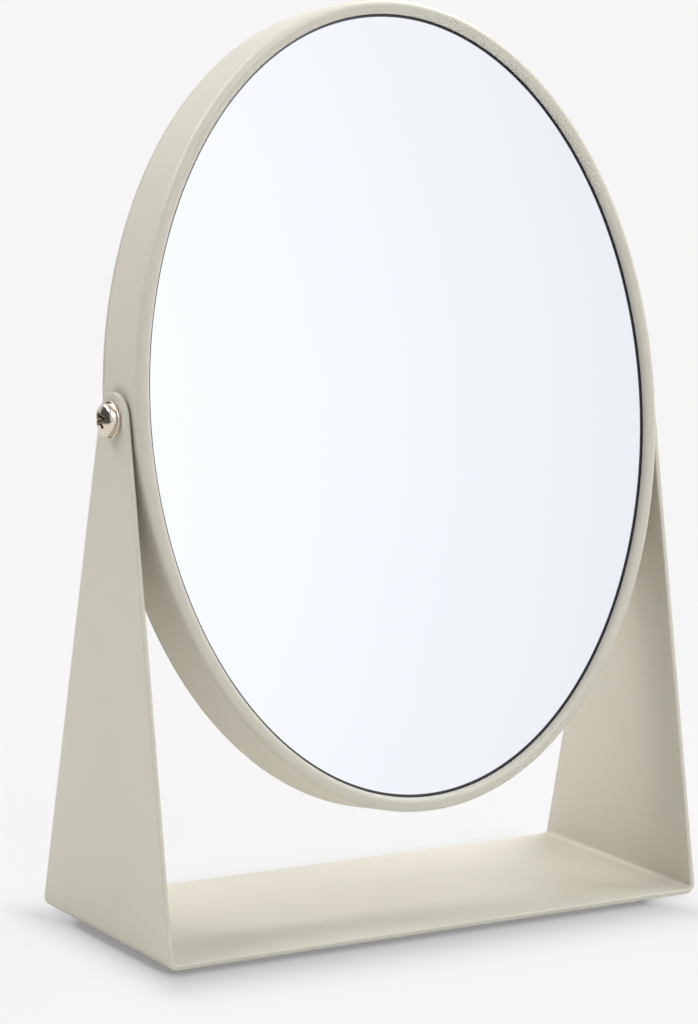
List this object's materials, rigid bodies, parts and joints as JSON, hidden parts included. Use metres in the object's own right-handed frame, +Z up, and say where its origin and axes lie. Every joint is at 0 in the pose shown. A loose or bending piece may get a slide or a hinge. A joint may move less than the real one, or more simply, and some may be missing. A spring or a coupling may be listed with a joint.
{
  "type": "magnifying table mirror",
  "caption": "Oval double-faced table mirror in a deep steel band, plain in front and magnifying behind, tilting on pivot screws between the tapering arms of a bent sheet-metal stand.",
  "frame": {"origin": "on the surface that the pads stand on, below the middle of the base", "axes": "+Z up, X along the pivot axis with +X to the right as seen from the front, -Y towards the viewer in front of the plain glass"},
  "size_m": [0.1614, 0.0644, 0.2269],
  "materials": {
    "powder_coat": "satin",
    "silvered_glass": "polished",
    "nickel_plate": "polished",
    "plain_steel": "satin",
    "nylon": "matte",
    "black_tape": "matte",
    "foam": "matte",
    "hardboard": "matte",
    "pad_rubber": "matte"
  },
  "bodies": {
    "stand": {"stand_bracket": "powder_coat", "base_pad_front_left": "pad_rubber", "base_pad_front_right": "pad_rubber", "base_pad_rear_left": "pad_rubber", "base_pad_rear_right": "pad_rubber", "friction_washer_left": "nylon", "friction_washer_right": "nylon"},
    "head": {"frame_band": "powder_coat", "front_glazing_tape": "black_tape", "front_mirror_glass": "silvered_glass", "front_backing_foam": "foam", "core_board": "hardboard", "rear_support_ring": "foam", "rear_magnifying_glass": "silvered_glass", "rear_glazing_tape": "black_tape", "rear_bezel": "powder_coat", "weld_nut_left": "plain_steel", "weld_nut_right": "plain_steel", "pivot_screw_left": "nickel_plate", "pivot_screw_right": "nickel_plate", "screw_washer_left": "nickel_plate", "screw_washer_right": "nickel_plate"}
  },
  "joints": [
    {"name": "head_tilt", "type": "hinge", "parent": "stand", "child": "head", "pos_m": [0, 0, 0.1274], "axis": [1, 0, 0], "continuous": true}
  ]
}
